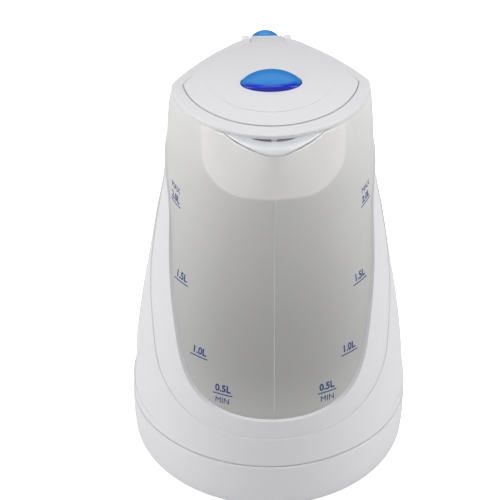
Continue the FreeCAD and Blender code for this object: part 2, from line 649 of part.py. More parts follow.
def make_handle(jug_outer):
    solid = handle_solid(0.0, HANDLE_ROUNDING).cut(jug_outer).cut(PARTS["outer_shell"])
    cavity = handle_solid(HANDLE_WALL, 0.0).cut(round_body(SHELL_OUTLINE, -HANDLE_WALL))
    hollow = solid.cut(cavity)
    inside = side_slab(HANDLE_SPLIT, 0.0)
    grip = hollow.common(inside)
    outer = hollow.cut(inside)

    screws = []
    for z, y_head, y_tip in HANDLE_SCREWS:
        boss = rod(HANDLE_BOSS_R, V(0, y_head - 6, z), V(0, y_tip + 14, z)).common(handle_solid(1.0, 0.0))
        grip = grip.fuse(boss.common(inside))
        outer = outer.fuse(boss.cut(inside))
        head_start = V(0, y_head, z)
        head_end = V(0, y_head + SCREW_HEAD_HEIGHT, z)
        shank = rod(SCREW_SHANK_R, head_start, V(0, y_tip, z))
        grip = grip.cut(rod(SCREW_HEAD_R + 0.3, V(0, y_head - 12, z), head_end)).cut(shank)
        outer = outer.cut(shank)
        screws.append(shank.fuse(rod(SCREW_HEAD_R, head_start, head_end)))
    keep("handle_screws", Part.makeCompound(screws))

    ears = []
    for x in (TONGUE_HALF_WIDTH + 0.6, -TONGUE_HALF_WIDTH - 0.6 - EAR_WIDTH):
        ears.append(rod(KNUCKLE_R + 0.2, V(x, HINGE_Y, HINGE_Z), V(x + EAR_WIDTH, HINGE_Y, HINGE_Z)))
        ears.append(block((x, x + EAR_WIDTH), (HINGE_Y - 0.6, HINGE_Y + KNUCKLE_R + 0.2), (222, HINGE_Z)))
    outer = union([outer] + ears).cut(jug_outer)
    outer = outer.cut(tongue_way(TONGUE_HALF_WIDTH + 0.6, 226.5))
    pin_end = V(HINGE_PIN_HALF_LENGTH, HINGE_Y, HINGE_Z)
    pin = rod(HINGE_PIN_R, V(-pin_end.x, HINGE_Y, HINGE_Z), pin_end)
    outer = outer.cut(pin)
    slot_x = SWITCH_HALF_WIDTH + 0.7
    outer = outer.cut(block((-slot_x, slot_x), (SWITCH_Y - 3.9, SWITCH_Y + 8.0), (211, 240)))
    tube_way = rod(STEAM_TUBE_R + 0.05, V(0, 45, STEAM_TUBE_Z), V(0, HOUSING_Y[0], STEAM_TUBE_Z))
    outer = outer.cut(tube_way)
    grip = grip.cut(tube_way)
    room_x = HOUSING_HALF_WIDTH + 0.3
    grip = grip.cut(block((-room_x, room_x), (HOUSING_Y[0] - 0.3, HOUSING_Y[1] + 0.3),
                          (HOUSING_Z[0] - 0.3, HOUSING_Z[1] + 2)))
    PARTS["jug"] = PARTS["jug"].cut(tube_way)
    PARTS["outer_shell"] = PARTS["outer_shell"].cut(tube_way)
    keep("handle_outer", outer)
    keep("handle_grip", grip)
    tube_start = V(0, STEAM_TUBE_START, STEAM_TUBE_Z)
    tube_end = V(0, HOUSING_Y[0], STEAM_TUBE_Z)
    bore = rod(STEAM_TUBE_R - STEAM_TUBE_WALL, tube_start, tube_end)
    keep("steam_tube", rod(STEAM_TUBE_R, tube_start, tube_end).cut(bore))
    keep("lid_hinge_pin", pin)


def across_switch(radius, half_length):
    """Cylinder on the switch's axis."""
    return rod(radius, V(-half_length, SWITCH_Y, SWITCH_PIVOT_Z), V(half_length, SWITCH_Y, SWITCH_PIVOT_Z))


def make_switch():
    low_z, high_z = HOUSING_Z
    housing = block((-HOUSING_HALF_WIDTH, HOUSING_HALF_WIDTH), HOUSING_Y, HOUSING_Z)
    housing = housing.cut(block((-8.2, 8.2), (HOUSING_Y[0] + 1, HOUSING_Y[1] - 1), (low_z + 0.8, high_z + 1)))
    housing = housing.cut(across_switch(SWITCH_PIN_R, HOUSING_HALF_WIDTH))
    housing = housing.cut(rod(1.6, V(0, 60, STEAM_TUBE_Z), V(0, HOUSING_Y[0] + 2, STEAM_TUBE_Z)))
    keep("switch_housing", housing)
    keep("switch_pin", across_switch(SWITCH_PIN_R, SWITCH_PIN_HALF_LENGTH))

    half = SWITCH_HALF_WIDTH
    stem_half = SWITCH_STEM_HALF_WIDTH
    thickness = (SWITCH_Y - SWITCH_THICKNESS / 2, SWITCH_Y + SWITCH_THICKNESS / 2)
    cap_z = SWITCH_TOP - half
    cap = rod(half, V(0, thickness[0], cap_z), V(0, thickness[1], cap_z))
    cap = cap.fuse(block((-half, half), thickness, (SWITCH_STEM_TOP - 0.5, cap_z))).removeSplitter()
    rims = [e for e in cap.Edges if e.BoundBox.YLength < 0.01 and e.BoundBox.ZMax > SWITCH_STEM_TOP]
    cap = cap.makeFillet(SWITCH_EDGE_R, rims)
    stem = block((-stem_half, stem_half), thickness, (SWITCH_PIVOT_Z, SWITCH_STEM_TOP))
    hub = across_switch(SWITCH_THICKNESS / 2 - 0.1, stem_half)
    paddle = union([cap, stem, hub]).cut(across_switch(SWITCH_PIN_R + RUNNING, 20))
    keep("switch_paddle", paddle)
    slider = block((-6, 6), (thickness[0] - 4.0, thickness[0] - 0.3), (low_z + 1.0, SWITCH_PIVOT_Z - 1.2))
    keep("contact_slider", slider)


# ---- lid ---------------------------------------------------------------------------------

def under_dome(drop):
    """Everything below the lid's doubly curved top, lowered by drop."""
    points = [V(0, y, z - drop) for y, z in LID_DOME]
    arc = Part.Arc(*points).toShape()
    lines = Part.makePolygon([points[2], V(0, points[2].y, 210), V(0, points[0].y, 210), points[0]])
    face = Part.Face(Part.Wire([arc] + lines.Edges))
    centre = V(0, 0, LID_DOME[1][1] - LID_CROSS_R)
    face.rotate(centre, REARWARD, -LID_SWEEP / 2)
    return face.revolve(centre, REARWARD, LID_SWEEP)


def lid_tongue():
    """The hinge tongue behind the lid, with its knuckle round the pin."""
    outline = [(38, 241.2), (46, 239.3), (52, 236.4), (HINGE_Y, HINGE_Z + KNUCKLE_R),
               (HINGE_Y - 2.6, HINGE_Z - 1.6), (50, 233.4), (45, 236.2), (38, 237.4)]
    points = [V(-TONGUE_HALF_WIDTH, y, z) for y, z in outline]
    tongue = Part.Face(Part.makePolygon(points + points[:1])).extrude(V(2 * TONGUE_HALF_WIDTH, 0, 0))
    knuckle = rod(KNUCKLE_R, V(-TONGUE_HALF_WIDTH, HINGE_Y, HINGE_Z), V(TONGUE_HALF_WIDTH, HINGE_Y, HINGE_Z))
    return tongue.fuse(knuckle)


def make_lid():
    cover = teardrop(LID_FRONT_INSET, LID_REAR_INSET, 225, 260).common(under_dome(0))
    raised = cylinder(LID_PANEL_R, 225, 260).common(under_dome(-LID_PANEL_STEP))
    cover = cover.fuse(raised.common(teardrop(LID_FRONT_INSET, LID_REAR_INSET, 225, 260)))
    cover = cover.cut(under_crown(LID_EDGE))
    pocket = teardrop(LID_FRONT_INSET + 2.3, LID_REAR_INSET + 2.3, 225, 260).common(under_dome(LID_WALL))
    cover = cover.cut(pocket)
    tongue = lid_tongue().cut(teardrop(LID_FRONT_INSET + 3, LID_REAR_INSET + 3, 225, 260))
    cover = cover.fuse(tongue)
    cover = cover.cut(oval(BUTTON_HALF_LENGTH + BUTTON_CLEARANCE, BUTTON_HALF_DEPTH + BUTTON_CLEARANCE,
                           235, 260))
    pin_way = rod(HINGE_PIN_R + RUNNING, V(-20, HINGE_Y, HINGE_Z), V(20, HINGE_Y, HINGE_Z))
    keep("lid_cover", cover.cut(pin_way))

    front, rear = LINER_INSETS
    hollow = teardrop(front + LINER_WALL, rear + LINER_WALL, LINER_BOTTOM + LINER_FLOOR, 261)
    liner = teardrop(front, rear, LINER_BOTTOM, 260).cut(hollow).common(under_dome(LID_WALL))
    latch_way = block((-60, 60), (LATCH_Y[0] - 0.4, LATCH_Y[1] + 0.4), (LATCH_Z[0] - 0.4, LATCH_Z[1] + 0.4))
    liner = liner.cut(latch_way)
    vents = [cylinder(1.5, 220, 235, x, LINER_VENT_Y) for x in LINER_VENT_XS]
    keep("lid_liner", liner.cut(union(vents)))
    seal = teardrop(*SEAL_INSETS, 225, 260).cut(teardrop(front, rear, 220, 265))
    keep("lid_seal", seal.common(under_crown(2.6)).cut(under_crown(5.0)))


def make_button():
    button = oval(BUTTON_HALF_LENGTH, BUTTON_HALF_DEPTH, BUTTON_SKIRT_Z, 260)
    button = button.common(Part.makeSphere(BUTTON_DOME_R, V(0, BUTTON_Y, BUTTON_TOP - BUTTON_DOME_R)))
    top_edges = [e for e in button.Edges if e.BoundBox.ZMin > 244]
    button = button.makeFillet(BUTTON_EDGE_R, top_edges)
    flange = oval(BUTTON_HALF_LENGTH + BUTTON_FLANGE, BUTTON_HALF_DEPTH + BUTTON_FLANGE,
                  BUTTON_SKIRT_Z, BUTTON_SKIRT_Z + 1.2)
    stem = cylinder(BUTTON_STEM_R, 233.6, BUTTON_SKIRT_Z + 1, 0, BUTTON_Y)
    keep("lid_button", union([button, flange, stem]))

    low = LINER_BOTTOM + LINER_FLOOR + SPRING_WIRE_R
    high = BUTTON_SKIRT_Z - SPRING_WIRE_R
    path = Part.makeHelix((high - low) / SPRING_TURNS, high - low, SPRING_R)
    path.translate(V(0, BUTTON_Y, low))
    section = Part.Wire(Part.makeCircle(SPRING_WIRE_R, V(SPRING_R, BUTTON_Y, low), REARWARD))
    keep("button_spring", Part.Wire(path).makePipeShell([section], True, True))

    for name, side in (("latch_left", -1), ("latch_right", 1)):
        bar_x = sorted((side * LATCH_X[0], side * LATCH_X[1]))
        bar = block(bar_x, LATCH_Y, LATCH_Z)
        nose = [e for e in bar.Edges if abs(abs(e.CenterOfMass.x) - LATCH_X[1]) < 0.01
                and abs(e.CenterOfMass.z - LATCH_Z[0]) < 0.01]
        keep(name, bar.makeChamfer(LATCH_NOSE, nose))


def main():
    make_base()
    jug_outer = make_jug()
    make_shell(jug_outer)
    make_collar()
    make_filter()
    make_heater()
    make_control()
    make_bottom_cover()
    make_handle(jug_outer)
    make_switch()
    make_lid()
    make_button()
    for name, shape in PARTS.items():
        shape.exportStep(os.path.join("parts", name + ".step"))
        box = shape.BoundBox
        print(name, len(shape.Solids), shape.isValid(), round(shape.Volume / 1000, 2), "cm3",
              [round(v, 1) for v in (box.XMin, box.XMax, box.YMin, box.YMax, box.ZMin, box.ZMax)])


main()
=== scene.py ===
import json
import math

import bmesh
import bpy
from bpy.props import FloatProperty, FloatVectorProperty, PointerProperty
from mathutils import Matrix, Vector
from mathutils.bvhtree import BVHTree


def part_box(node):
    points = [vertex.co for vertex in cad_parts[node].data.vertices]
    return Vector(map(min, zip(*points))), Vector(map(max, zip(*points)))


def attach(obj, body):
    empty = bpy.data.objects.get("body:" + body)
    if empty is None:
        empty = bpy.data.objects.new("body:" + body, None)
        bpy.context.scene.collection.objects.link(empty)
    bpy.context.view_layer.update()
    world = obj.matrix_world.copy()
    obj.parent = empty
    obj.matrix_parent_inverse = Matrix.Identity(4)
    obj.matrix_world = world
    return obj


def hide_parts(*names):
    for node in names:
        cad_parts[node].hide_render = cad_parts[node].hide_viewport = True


bl_info = {
    "name": "Jug kettle",
    "version": (1, 0, 0),
    "blender": (4, 5, 0),
    "location": "3D View > Sidebar > Kettle",
    "description": "Plastics, steel, printing and small mouldings of a cordless jug kettle",
    "category": "Object",
}

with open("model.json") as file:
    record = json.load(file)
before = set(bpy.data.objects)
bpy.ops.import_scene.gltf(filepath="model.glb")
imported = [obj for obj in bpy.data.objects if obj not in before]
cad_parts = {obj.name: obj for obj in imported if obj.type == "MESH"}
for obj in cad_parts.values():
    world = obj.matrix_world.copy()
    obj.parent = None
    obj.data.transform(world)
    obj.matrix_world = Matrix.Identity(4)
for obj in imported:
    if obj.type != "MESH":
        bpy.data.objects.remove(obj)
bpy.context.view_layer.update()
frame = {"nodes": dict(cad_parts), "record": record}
NODES = frame["nodes"]

# Level marks: figures, word above, word below, height of the underline, degrees to the left and right.
LEVEL_MARKS = [
    ("2.0L", "MAX", "", 0.179, 66, 63),
    ("1.5L", "", "", 0.136, 52, 49),
    ("1.0L", "", "", 0.096, 36, 37),
    ("0.5L", "", "MIN", 0.0765, 23, 24),
]
UNDERLINE_STEPS = 16

# Painted light and shade of the jug from foot to rim, standing in for light through its frosted wall: the
# heights of both ends, and shares of its colour between them.
JUG_PAINTED_LIGHT_HEIGHTS = (0.05, 0.25)
JUG_PAINTED_LIGHT_SHARES = [(0.0, 1.24), (0.12, 1.05), (0.24, 0.85), (0.5, 1.08), (0.75, 1.34), (0.92, 1.6), (1.0, 1.65)]

DUST = (0.55, 0.54, 0.51)

# Painted light on the jug's resin: on its flanks, where the side light falls, and on the apron under the
# spout, standing in for light through the wall.
FLANK_PAINTED_LIGHT = (0.95, 0.95, 0.94)
FLANK_PAINTED_LIGHT_SHARE = 0.17
FLANK_PAINTED_LIGHT_X = (0.022, 0.056)
# Painted light on the apron under the spout.
APRON_PAINTED_LIGHT = (1.0, 0.99, 0.965)
APRON_HALF_FOOT = 0.018
APRON_FOOT_Z = 0.2255
APRON_EDGE = (0.0192, 0.0212)
APRON_BACK_Y = -0.02

# Painted glow on the floor of the spout, an emission standing in for light where the rim shades it: from its
# lip (low Y) to the rim of the collar.
SPOUT_PAINTED_GLOW = (0.33, 0.335, 0.345)
SPOUT_PAINTED_GLOW_Y = (-0.059, -0.0505)
SPOUT_BACK_Y = -0.044
SPOUT_TOP_Z = 0.2424

# Deep blue rim on the front half of the oval button, kept out of the painted highlight, in shares of its half
# width.
BUTTON_RIM = (0.58, 0.80)
BUTTON_RIM_TURN = (0.0, 0.5)

SEAM_HEIGHTS = (0.0655, 0.2040)
SEAM_STEPS = 48
RIDGE_STEPS = 6
WEAVE_WAVE = 0.00012
STRAND_SHARE = 0.3

# Studio, in metres.
FLOOR_RADIUS = 6.0
FLOOR_GLOW = 0.75
AIM = (0.0, 0.0, 0.12)
CAMERA_PLACE = (-0.0448, -0.9991, 0.9285)
CAMERA_TILT = 51.239
CAMERA_TURN = -1.93
CAMERA_LENS = 161.27


# ---- what a user may change --------------------------------------------------------------

class KettleColours(bpy.types.PropertyGroup):
    shell: FloatVectorProperty(
        name="Shell", description="White of the shell, base, collar and lid",
        subtype="COLOR", size=3, min=0.0, max=1.0, default=(0.80, 0.80, 0.82))
    jug: FloatVectorProperty(
        name="Jug", description="Frosted resin of the water jug",
        subtype="COLOR", size=3, min=0.0, max=1.0, default=(0.56, 0.555, 0.545))
    blue: FloatVectorProperty(
        name="Blue", description="Lid button and switch",
        subtype="COLOR", size=3, min=0.0, max=1.0, default=(0.002, 0.022, 0.55))
    # The lighter blue is a painted highlight where the button looks up, and the whole colour of the switch.
    painted_highlight_and_switch_blue: FloatVectorProperty(
        name="Sky", description="Lighter blue where the button and the switch face up",
        subtype="COLOR", size=3, min=0.0, max=1.0, default=(0.028, 0.25, 0.67))
    ink: FloatVectorProperty(
        name="Ink", description="Printed level marks",
        subtype="COLOR", size=3, min=0.0, max=1.0, default=(0.008, 0.048, 0.20))


class KettleMarks(bpy.types.PropertyGroup):
    glyph: FloatProperty(
        name="Glyph height", description="Height of the printed figures",
        unit="LENGTH", min=0.002, max=0.01, default=0.0046)
    underline: FloatProperty(
        name="Underline", description="Length of the line that marks the level",
        unit="LENGTH", min=0.004, max=0.03, default=0.0118)
    thickness: FloatProperty(
        name="Ink thickness", description="How far the ink stands on the wall",
        unit="LENGTH", min=0.00001, max=0.0005, default=0.00008)


class KettleMouldings(bpy.types.PropertyGroup):
    seam_width: FloatProperty(
        name="Mould seam", description="Width of the mould seam down the front of the jug",
        unit="LENGTH", min=0.0001, max=0.002, default=0.0005)
    weave_pitch: FloatProperty(
        name="Filter weave", description="Distance between the strands of the filter",
        unit="LENGTH", min=0.0004, max=0.004, default=0.0011)


class KettleStudio(bpy.types.PropertyGroup):
    floor: FloatVectorProperty(
        name="Floor", description="Colour of the studio floor",
        subtype="COLOR", size=3, min=0.0, max=1.0, default=(0.93, 0.93, 0.935))
    overhead: FloatProperty(
        name="Overhead", description="Power of the softbox above",
        unit="POWER", min=0.0, default=12.0)
    sides: FloatProperty(
        name="Sides", description="Power of the softboxes on both sides",
        unit="POWER", min=0.0, default=12.5)
    room: FloatProperty(
        name="Room", description="Strength of the even light of the room",
        min=0.0, max=5.0, default=0.075)
    front: FloatProperty(
        name="Front", description="Power of the small softbox above the front",
        unit="POWER", min=0.0, default=1.7)
    back: FloatProperty(
        name="Back", description="Power of the strip behind, which the glossy button mirrors",
        unit="POWER", min=0.0, default=2.0)


# ---- shared effects ----------------------------------------------------------------------

def effect_group(name, inputs, outputs):
    """An empty shader group with named float inputs and outputs."""
    group = bpy.data.node_groups.new(name, "ShaderNodeTree")
    for label, default in inputs:
        socket = group.interface.new_socket(name=label, in_out="INPUT", socket_type="NodeSocketFloat")
        socket.default_value = default
    for label in outputs:
        group.interface.new_socket(name=label, in_out="OUTPUT", socket_type="NodeSocketFloat")
    ways_in = group.nodes.new("NodeGroupInput")
    ways_out = group.nodes.new("NodeGroupOutput")
    return group, ways_in, ways_out


def maths(tree, operation, first, second=None, clamp=False):
    """A maths node whose one or two values are sockets or plain numbers."""
    node = tree.nodes.new("ShaderNodeMath")
    node.operation = operation
    node.use_clamp = clamp
    for slot, value in zip(node.inputs, (first, second)):
        if isinstance(value, bpy.types.NodeSocket):
            tree.links.new(value, slot)
        elif value is not None:
            slot.default_value = value
    return node.outputs[0]


def hypotenuse(tree, first, second):
    squares = maths(tree, "ADD", maths(tree, "POWER", first, 2.0), maths(tree, "POWER", second, 2.0))
    return maths(tree, "POWER", squares, 0.5)


def smooth_step(tree, value, low, high):
    """0 below low, 1 above high, and a smooth run between them."""
    node = tree.nodes.new("ShaderNodeMapRange")
    node.interpolation_type = "SMOOTHSTEP"
    node.inputs["From Min"].default_value = low
    node.inputs["From Max"].default_value = high
    tree.links.new(value, node.inputs["Value"])
    return node.outputs["Result"]


def place_on_object(tree):
    """X, Y and Z of the shaded point in the object's own space."""
    coordinates = tree.nodes.new("ShaderNodeTexCoord")
    split = tree.nodes.new("ShaderNodeSeparateXYZ")
    tree.links.new(coordinates.outputs["Object"], split.inputs[0])
    return split.outputs


def facing_up(tree):
    """How far the surface looks up, from -1 to 1."""
    geometry = tree.nodes.new("ShaderNodeNewGeometry")
    split = tree.nodes.new("ShaderNodeSeparateXYZ")
    tree.links.new(geometry.outputs["Normal"], split.inputs[0])
    return split.outputs["Z"]


def noise(tree, scale, detail=2.0, stretch=(1.0, 1.0, 1.0), roughness=0.5):
    """Noise in the object's own space, in which the scale is in waves per metre."""
    place = tree.nodes.new("ShaderNodeTexCoord")
    mapping = tree.nodes.new("ShaderNodeMapping")
    mapping.inputs["Scale"].default_value = stretch
    texture = tree.nodes.new("ShaderNodeTexNoise")
    texture.inputs["Detail"].default_value = detail
    texture.inputs["Roughness"].default_value = roughness
    tree.links.new(place.outputs["Object"], mapping.inputs["Vector"])
    tree.links.new(mapping.outputs["Vector"], texture.inputs["Vector"])
    if isinstance(scale, bpy.types.NodeSocket):
        tree.links.new(scale, texture.inputs["Scale"])
    else:
        texture.inputs["Scale"].default_value = scale
    return texture.outputs["Fac"]


def moulded_skin():
    """Fine spark texture of a mould over the slow waves of cooling plastic."""
    if "moulded skin" in bpy.data.node_groups:
        return bpy.data.node_groups["moulded skin"]
    controls = [("Grain Size", 2600.0), ("Grain Depth", 0.35), ("Waviness", 0.6)]
    group, ways_in, ways_out = effect_group("moulded skin", controls, ["Height", "Mottle"])
    grain = noise(group, ways_in.outputs["Grain Size"], 3.0)
    waves = noise(group, 34.0, 1.5)
    depth = maths(group, "MULTIPLY", grain, ways_in.outputs["Grain Depth"])
    swell = maths(group, "MULTIPLY", waves, ways_in.outputs["Waviness"])
    group.links.new(maths(group, "ADD", depth, swell), ways_out.inputs["Height"])
    group.links.new(waves, ways_out.inputs["Mottle"])
    return group


def handling_wear():
    """Faint rubbed patches and hairline scuffs where the kettle is held and wiped."""
    if "handling wear" in bpy.data.node_groups:
        return bpy.data.node_groups["handling wear"]
    group, ways_in, ways_out = effect_group(
        "handling wear", [("Amount", 0.5), ("Patch Size", 28.0)], ["Rubbed", "Scuffs"])
    patches = noise(group, ways_in.outputs["Patch Size"], 4.0, roughness=0.6)
    rubbed = maths(group, "SUBTRACT", patches, 0.45, clamp=True)
    rubbed = maths(group, "MULTIPLY", rubbed, ways_in.outputs["Amount"])
    lines = noise(group, 190.0, 5.0, stretch=(1.0, 1.0, 14.0), roughness=0.72)
    scuffs = maths(group, "MULTIPLY", maths(group, "SUBTRACT", lines, 0.62, clamp=True), 3.0)
    scuffs = maths(group, "MULTIPLY", scuffs, ways_in.outputs["Amount"], clamp=True)
    group.links.new(rubbed, ways_out.inputs["Rubbed"])
    group.links.new(scuffs, ways_out.inputs["Scuffs"])
    return group


def settled_dust():
    """A thin film on faces that look up, broken by slow noise."""
    if "settled dust" in bpy.data.node_groups:
        return bpy.data.node_groups["settled dust"]
    group, ways_in, ways_out = effect_group("settled dust", [("Amount", 0.2)], ["Film"])
    facing = maths(group, "POWER", maths(group, "MAXIMUM", facing_up(group), 0.0), 3.0)
    patchy = maths(group, "ADD", maths(group, "MULTIPLY", noise(group, 60.0, 3.0), 0.6), 0.4)
    film = maths(group, "MULTIPLY", maths(group, "MULTIPLY", facing, patchy), ways_in.outputs["Amount"])
    group.links.new(film, ways_out.inputs["Film"])
    return group


def brushed_lines():
    """Long fine lines of a brushed or turned metal face."""
    if "brushed lines" in bpy.data.node_groups:
        return bpy.data.node_groups["brushed lines"]
    group, ways_in, ways_out = effect_group("brushed lines", [("Fineness", 900.0)], ["Lines"])
    along_x = noise(group, ways_in.outputs["Fineness"], 3.0, stretch=(0.03, 1.0, 1.0))
    group.links.new(along_x, ways_out.inputs["Lines"])
    return group


# ---- material building -------------------------------------------------------------------

def place_effect(material, group, **values):
    """The shared effect inside a material, with that material's own values."""
    node = material.node_tree.nodes.new("ShaderNodeGroup")
    node.node_tree = group
    for label, value in values.items():
        node.inputs[label.replace("_", " ")].default_value = value
    return node


def span(material, mask, low, high, mask_low=0.0, mask_high=1.0):
    """A value that runs from low to high while the mask runs from mask_low to mask_high."""
    node = material.node_tree.nodes.new("ShaderNodeMapRange")
    node.inputs["From Min"].default_value = mask_low
    node.inputs["From Max"].default_value = mask_high
    node.inputs["To Min"].default_value = low
    node.inputs["To Max"].default_value = high
    material.node_tree.links.new(mask, node.inputs["Value"])
    return node.outputs["Result"]


def blend_colours(material, mask, first, second, blend_type="MIX"):
    """A colour that goes from first to second with the mask; both are sockets or plain colours."""
    tree = material.node_tree
    node = tree.nodes.new("ShaderNodeMix")
    node.data_type = "RGBA"
    node.blend_type = blend_type
    for label, colour in (("A", first), ("B", second)):
        if isinstance(colour, bpy.types.NodeSocket):
            tree.links.new(colour, node.inputs[label])
        else:
            node.inputs[label].default_value = (*colour, 1.0)
    tree.links.new(mask, node.inputs["Factor"])
    return node.outputs["Result"]


def raise_surface(material, height, strength, distance):
    """Bump from a height, into the shader's normal."""
    bump = material.node_tree.nodes.new("ShaderNodeBump")
    bump.inputs["Strength"].default_value = strength
    bump.inputs["Distance"].default_value = distance
    material.node_tree.links.new(height, bump.inputs["Height"])
    material.node_tree.links.new(bump.outputs["Normal"], shader_of(material).inputs["Normal"])


def shader_of(material):
    return material.node_tree.nodes["Principled BSDF"]


def new_finish(name, **constants):
    """A material whose shader has these constants set on its own sockets."""
    material = bpy.data.materials.new(name)
    material.use_nodes = True
    shader = shader_of(material)
    for label, value in constants.items():
        shader.inputs[label.replace("_", " ")].default_value = value
    return material


def join(material, value, socket):
    material.node_tree.links.new(value, shader_of(material).inputs[socket])


def darker(colour, share):
    return tuple(c * share for c in colour)


def plastic(name, colour, roughness, grain_depth, wear, dust, **constants):
    """Moulded plastic: colour drift, satin skin, rubbed patches and a film of dust."""
    material = new_finish(name, **constants)
    tree = material.node_tree
    skin = place_effect(material, moulded_skin(), Grain_Depth=grain_depth)
    used = place_effect(material, handling_wear(), Amount=wear)
    film = place_effect(material, settled_dust(), Amount=dust)
    drift = span(material, skin.outputs["Mottle"], 0.0, 1.0)
    base = blend_colours(material, drift, colour, darker(colour, 0.975))
    join(material, blend_colours(material, film.outputs["Film"], base, DUST), "Base Color")
    rubbed = span(material, used.outputs["Rubbed"], roughness, roughness * 0.72)
    scuffed = maths(tree, "MULTIPLY", used.outputs["Scuffs"], 0.12)
    join(material, maths(tree, "ADD", rubbed, scuffed), "Roughness")
    raise_surface(material, skin.outputs["Height"], 0.25, 0.00004)
    return material


def white_plastic(name, colours):
    """Glossy white of the parts that are seen and held."""
    return plastic(name, tuple(colours.shell), 0.34, 0.18, 0.5, 0.02, Coat_Weight=0.12, Coat_Roughness=0.2)


def metal(name, colour, roughness, fineness):
    """Brushed or cast metal with fine lines in its gloss."""
    material = new_finish(name, Metallic=1.0)
    lines = place_effect(material, brushed_lines(), Fineness=fineness)
    used = place_effect(material, handling_wear(), Amount=0.6)
    join(material, blend_colours(material, used.outputs["Rubbed"], colour, darker(colour, 0.7)), "Base Color")
    join(material, span(material, lines.outputs["Lines"], roughness * 0.7, roughness * 1.3), "Roughness")
    raise_surface(material, lines.outputs["Lines"], 0.3, 0.00002)
    return material


def apron_painted_light_mask(tree, place):
    """Mask of the painted light on the apron under the spout: straight sides and a rounded foot, front only.
    """
    across = maths(tree, "ABSOLUTE", place["X"])
    foot_x = maths(tree, "MAXIMUM", maths(tree, "SUBTRACT", across, APRON_HALF_FOOT), 0.0)
    foot_z = maths(tree, "MAXIMUM", maths(tree, "SUBTRACT", APRON_FOOT_Z, place["Z"]), 0.0)
    reach = hypotenuse(tree, foot_x, foot_z)
    inside = maths(tree, "SUBTRACT", 1.0, smooth_step(tree, reach, *APRON_EDGE))
    return maths(tree, "MULTIPLY", inside, maths(tree, "LESS_THAN", place["Y"], APRON_BACK_Y))


def painted_light_by_height(material, place, colour):
    """The jug's colour with painted shade a little above its foot, and painted light at its foot and most
    towards its rim.
    """
    # Painted light and shade: the jug colour darkens a little above the foot and lightens towards the rim.
    ramp = material.node_tree.nodes.new("ShaderNodeValToRGB")
    height = span(material, place["Z"], 0.0, 1.0, *JUG_PAINTED_LIGHT_HEIGHTS)
    material.node_tree.links.new(height, ramp.inputs["Fac"])
    ramp.color_ramp.interpolation = "B_SPLINE"
    stops = ramp.color_ramp.elements
    while len(stops) < len(JUG_PAINTED_LIGHT_SHARES):
        stops.new(0.5)
    for stop, (position, share) in zip(stops, JUG_PAINTED_LIGHT_SHARES):
        stop.position = position
        stop.color = (*(min(c * share, 1.0) for c in colour), 1.0)
    return ramp.outputs["Color"]


def frosted_resin(colours):
    """Frosted jug wall: light soaks through it, and its colour carries painted light and shade by height, and
    painted light on its flanks and on the apron under the spout.
    """
    material = new_finish("frosted_resin", IOR=1.48, Transmission_Weight=0.16)
    tree = material.node_tree
    skin = place_effect(material, moulded_skin(), Grain_Size=1800.0, Grain_Depth=0.5)
    used = place_effect(material, handling_wear(), Amount=0.35, Patch_Size=18.0)
    place = place_on_object(tree)
    # Painted light and shade by height.
    height_light_and_shade = painted_light_by_height(material, place, colours.jug)
    # Painted light: the resin lightens towards the flanks, where the side light falls.
    towards_side = smooth_step(tree, maths(tree, "ABSOLUTE", place["X"]), *FLANK_PAINTED_LIGHT_X)
    lit = blend_colours(material, maths(tree, "MULTIPLY", towards_side, FLANK_PAINTED_LIGHT_SHARE), height_light_and_shade, FLANK_PAINTED_LIGHT)
    # Painted light on the apron under the spout, standing in for light through the wall.
    lit = blend_colours(material, apron_painted_light_mask(tree, place), lit, APRON_PAINTED_LIGHT)
    mottled = blend_colours(material, skin.outputs["Mottle"], lit, (0.97, 0.97, 0.97), "MULTIPLY")
    join(material, mottled, "Base Color")
    join(material, span(material, used.outputs["Rubbed"], 0.42, 0.36), "Roughness")
    raise_surface(material, skin.outputs["Height"], 0.3, 0.00005)
    return material


def painted_spout_glow(material):
    """Painted glow on the floor of the spout, an emission that stands in for light where the rim shades it,
    fading out towards its lip.
    """
    tree = material.node_tree
    place = place_on_object(tree)
    from_lip = smooth_step(tree, place["Y"], *SPOUT_PAINTED_GLOW_Y)
    in_front = maths(tree, "LESS_THAN", place["Y"], SPOUT_BACK_Y)
    under_rim = maths(tree, "LESS_THAN", place["Z"], SPOUT_TOP_Z)
    painted_glow_mask = maths(tree, "MULTIPLY", from_lip, maths(tree, "MULTIPLY", in_front, under_rim))
    # Painted glow: the spout floor emits light, though it is no lamp.
    join(material, blend_colours(material, painted_glow_mask, (0.0, 0.0, 0.0), SPOUT_PAINTED_GLOW), "Emission Color")
    shader_of(material).inputs["Emission Strength"].default_value = 1.0


def front_rim(tree, button):
    """Mask of the rim on the front half of an oval that fills this box."""
    low, high = button
    middle = (low + high) / 2
    half = (high - low) / 2
    place = place_on_object(tree)
    across = maths(tree, "DIVIDE", maths(tree, "SUBTRACT", place["X"], middle.x), half.x)
    along = maths(tree, "DIVIDE", maths(tree, "SUBTRACT", place["Y"], middle.y), half.y)
    out = hypotenuse(tree, maths(tree, "ABSOLUTE", across), maths(tree, "ABSOLUTE", along))
    forward = smooth_step(tree, maths(tree, "MULTIPLY", along, -1.0), *BUTTON_RIM_TURN)
    return maths(tree, "MULTIPLY", smooth_step(tree, out, *BUTTON_RIM), forward)


